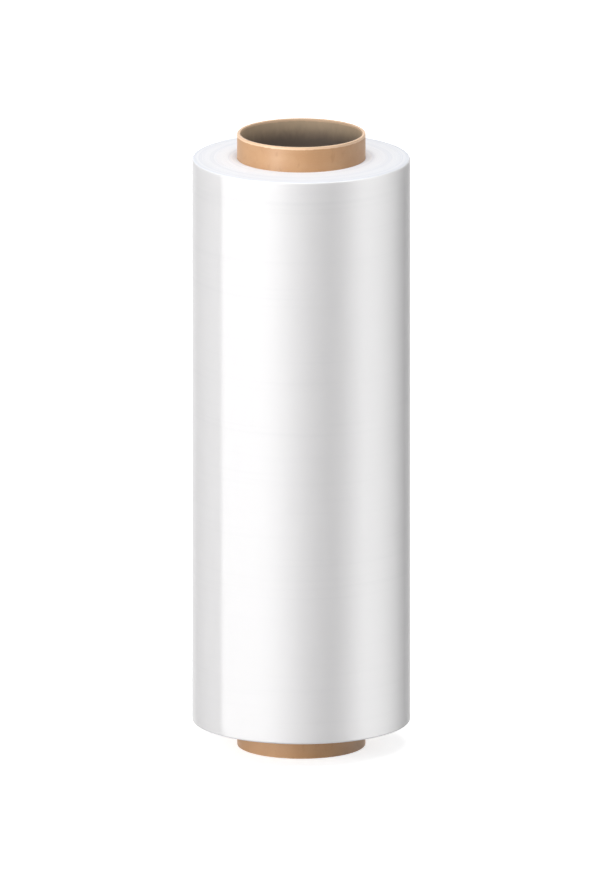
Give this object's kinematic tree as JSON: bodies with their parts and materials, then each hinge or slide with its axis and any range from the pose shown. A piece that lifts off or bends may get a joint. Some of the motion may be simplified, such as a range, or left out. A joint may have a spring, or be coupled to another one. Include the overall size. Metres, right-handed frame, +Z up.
{
  "type": "stretch wrap roll",
  "caption": "Roll of stretch wrap film, wound tight on a spiral-wound paperboard core that stands out at both ends. It stands upright on one end of the core.",
  "frame": {"origin": "centre of the lower end of the core, on the roll's axis, at the surface that the roll stands on", "axes": "+Z up along the roll's axis. -Y is the side that the picture shows. The film's free end and the crossings of the core's seam are at the back, towards +Y."},
  "size_m": [0.1563, 0.1561, 0.45],
  "materials": {
    "kraft_paperboard": "matte",
    "stretch_film": "gloss"
  },
  "bodies": {
    "root": {"core_tube": "kraft_paperboard", "film_roll": "stretch_film"}
  },
  "joints": []
}
